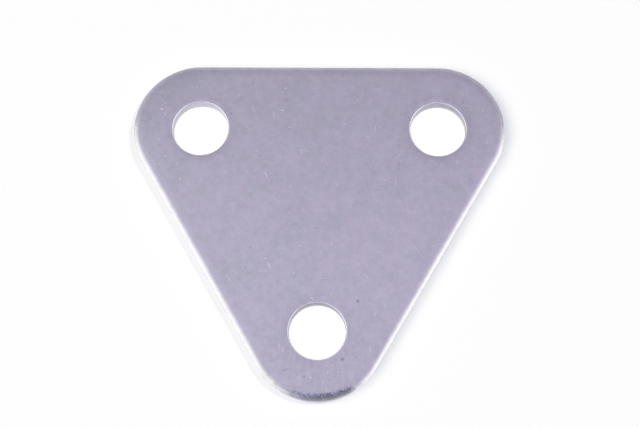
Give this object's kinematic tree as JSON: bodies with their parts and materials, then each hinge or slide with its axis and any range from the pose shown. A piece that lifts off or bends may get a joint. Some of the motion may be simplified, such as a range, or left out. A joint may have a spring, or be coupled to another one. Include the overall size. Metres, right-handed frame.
{
  "type": "backstay plate",
  "caption": "Flat triangular stainless link plate with rounded corners and a clevis pin hole in each corner, for splitting a sailing boat's backstay.",
  "frame": {"origin": "on the underside, under the middle of the outline", "axes": "+Z out of the top face, +X along the side that has two holes, +Y towards that side"},
  "size_m": [0.0438, 0.04, 0.0015],
  "materials": {
    "stainless": "tumbled satin, with fine stray scratches and rolled, brighter edges"
  },
  "bodies": {
    "root": {"backstay_plate": "stainless"}
  },
  "joints": []
}
